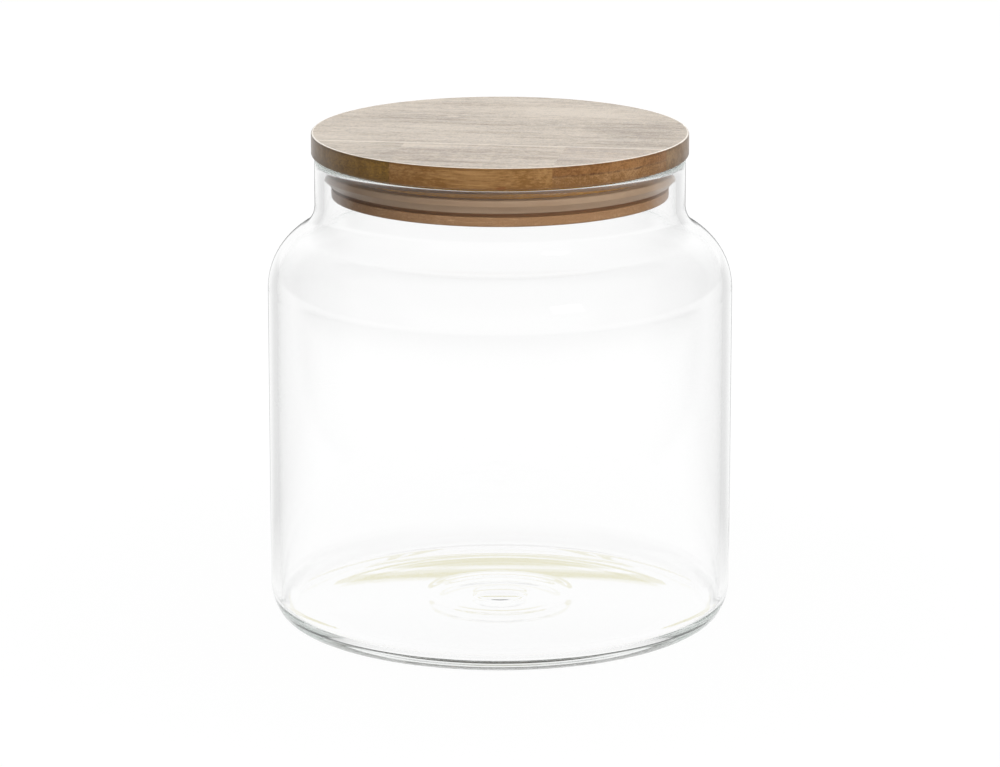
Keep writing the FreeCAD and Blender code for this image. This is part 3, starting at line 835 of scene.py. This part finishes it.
# The table, just under the foot, in metres and linear greys
TABLE_DROP = -0.1 * MM
TABLE_RADIUS = 6.0
TABLE_SEGMENTS = 96
TABLE_MOTTLE = 6.0
TABLE_DARK = (0.3, (0.80, 0.80, 0.80, 1))
TABLE_LIGHT = (0.7, (0.84, 0.84, 0.84, 1))
TABLE_WHITE = 1.02

# How much of the table shows white, against its matt shadow, from near the jar outwards
SHADOW_REACH = (0.09, 0.32)
SHADOW_WHITE = (0.95, 1.0)

# Where the table is dim for mirrored rays. In front: by direction and distance, and less farther out
FRONT_DIRECTION = (0.2, 0.5)
FRONT_START = (0.45, 0.58)
FRONT_EASE = (0.75, 1.1)
FRONT_EASED = 0.45
# Behind, at both sides: by the slope away from a line beside the jar, in a narrow and a broad band
BESIDE_START = 0.07
BESIDE_LEAST = 0.05
NARROW_RISE = (0.01, 0.05)
NARROW_FALL = (0.12, 0.2)
BROAD_RISE = (0.25, 0.52)
BROAD_LEVEL = 0.32
BEHIND = (0.0, 0.1)


def table_dimness(nodes, path, place, reach):
    side, back, _ = nodes.split(place)
    front = nodes.range(nodes.over(back, reach), FRONT_DIRECTION, FALL)
    front = nodes.times(front, nodes.range(reach, FRONT_START))
    front = nodes.times(front, nodes.range(reach, FRONT_EASE, (1.0, FRONT_EASED)))
    slope = nodes.minus(nodes.size(side), BESIDE_START)
    slope = nodes.over(slope, nodes.larger(back, BESIDE_LEAST))
    narrow = nodes.times(nodes.range(slope, NARROW_RISE), nodes.range(slope, NARROW_FALL, FALL))
    narrow = nodes.times(narrow, nodes.math("LESS_THAN", path["Transmission Depth"], HALF))
    sides = nodes.larger(narrow, nodes.range(slope, BROAD_RISE, (0.0, BROAD_LEVEL)))
    return nodes.larger(front, nodes.times(sides, nodes.range(back, BEHIND)))


def add_floor():
    """A matt table that shows white, also in gloss and through glass, and keeps a soft shadow."""
    made = bmesh.new()
    bmesh.ops.create_circle(made, cap_ends=True, segments=TABLE_SEGMENTS, radius=TABLE_RADIUS)
    floor = finish_piece("studio_floor", made)
    floor.location.z = TABLE_DROP
    material, nodes = new_material("studio_floor")
    place = nodes.place()
    mottle = nodes.noise(place, scale=TABLE_MOTTLE, detail=3)
    matt = nodes.add("ShaderNodeBsdfDiffuse", {"Color": nodes.ramp(mottle, TABLE_DARK, TABLE_LIGHT)})
    path = nodes.add("ShaderNodeLightPath").node.outputs
    reach = nodes.add("ShaderNodeVectorMath", {0: place}, "Value", operation="LENGTH")
    level = brightness(nodes, path, table_dimness(nodes, path, place, reach))
    strength = nodes.times(level, TABLE_WHITE)
    white = nodes.add("ShaderNodeEmission", {"Color": WHITE, "Strength": strength})
    near = nodes.range(reach, SHADOW_REACH, SHADOW_WHITE, smooth=True)
    share = nodes.times(seen(nodes, path), near)
    nodes.output(nodes.add("ShaderNodeMixShader", {0: share, 1: matt, 2: white}))
    floor.data.materials.append(material)


# The studio around the table, by direction: how bright it lights and shows against white as 1
WORLD_LIGHT = 0.42
OVERHEAD = (0.3, 0.75)
OVERHEAD_SHOWN = (1.0, 0.6)
OVERHEAD_LIGHT = (WORLD_LIGHT, 0.35 * WORLD_LIGHT)
AHEAD = (0.0, 0.5)
AHEAD_DIM = (0.4, 0.0)
ASIDE = (0.4, 0.8)
ASIDE_DIM = (0.0, 0.7)

# Straw-coloured strips low at the back: their elevations in degrees, and how they end
STRAW_STRIPS = ((11.3, 12.5), (13.1, 14.2))
STRAW_EASE = 0.15
STRAW_WIDTH = (0.13, 0.19)
STRAW_BACK = (0.0, 0.1)
STRAW_COLOUR = (0.52, 0.46, 0.0, 1)


def elevations(degrees):
    """The heights of directions on either side of an elevation, between which a strip starts or ends."""
    return [math.sin(math.radians(degrees + step)) for step in (-STRAW_EASE, STRAW_EASE)]


def add_world():
    """A white studio: dimmer overhead and, in gloss, in front and at the sides, with the straw strips."""
    world = bpy.data.worlds.new("studio")
    bpy.context.scene.world = world
    world.use_nodes = True
    nodes = Nodes(world.node_tree)
    x, y, z = nodes.split(nodes.add("ShaderNodeTexCoord", out="Generated"))
    path = nodes.add("ShaderNodeLightPath").node.outputs
    aside = nodes.size(x)

    away = nodes.larger(nodes.range(y, AHEAD, AHEAD_DIM), nodes.range(aside, ASIDE, ASIDE_DIM))
    shown = nodes.times(brightness(nodes, path, away), nodes.range(z, OVERHEAD, OVERHEAD_SHOWN))
    light = nodes.range(z, OVERHEAD, OVERHEAD_LIGHT, smooth=True)
    level = nodes.mix_values(seen(nodes, path), light, shown)
    level = nodes.larger(level, path["Is Camera Ray"])

    strips = 0.0
    for low, high in STRAW_STRIPS:
        start = nodes.range(z, elevations(low))
        strips = nodes.add_part(start, nodes.range(z, elevations(high), FALL), strips)
    width = nodes.range(aside, STRAW_WIDTH, FALL, smooth=True)
    strips = nodes.times(strips, nodes.times(width, nodes.range(y, STRAW_BACK)))
    strips = nodes.times(strips, reflected(nodes, path))
    colour = nodes.mix(strips, WHITE, STRAW_COLOUR)
    shade = nodes.add("ShaderNodeBackground", {"Color": colour, "Strength": level})
    nodes.output(shade, kind="ShaderNodeOutputWorld")


# Light goes round inside the thick glass many times, as it does in real glass
GLASS_BOUNCES = 256
CLEAR_BOUNCES = 24


def set_light_paths():
    paths = bpy.context.scene.cycles
    paths.max_bounces = GLASS_BOUNCES
    paths.glossy_bounces = GLASS_BOUNCES
    paths.transmission_bounces = GLASS_BOUNCES
    paths.transparent_max_bounces = CLEAR_BOUNCES


bpy.context.scene.view_settings.view_transform = "Standard"
set_light_paths()
add_camera()
add_floor()
add_world()

# Softboxes, in metres and watts
MIDDLE = (0, 0, 0.1)
LID = (0, 0, 0.16)
add_lamp("key_softbox", place=(0.85, -1.2, 0.95), target=MIDDLE, size=(0.4, 0.3), power=8.5)
add_lamp("glint_softbox", place=(0.82, -1.16, 0.92), target=MIDDLE, size=(0.4, 0.3), power=1.6, glints=True)
add_lamp("fill_softbox", place=(0.45, -1.5, 0.36), target=MIDDLE, size=(0.6, 0.3), power=8.5)
add_lamp("top_softbox", place=(0.0, 0.35, 1.4), target=MIDDLE, size=(1.0, 0.8), power=4.5)
add_lamp("back_softbox", place=(0.0, 1.5, 0.95), target=LID, size=(2.2, 0.9), power=9.5, glints=True,
         pieces=boards)
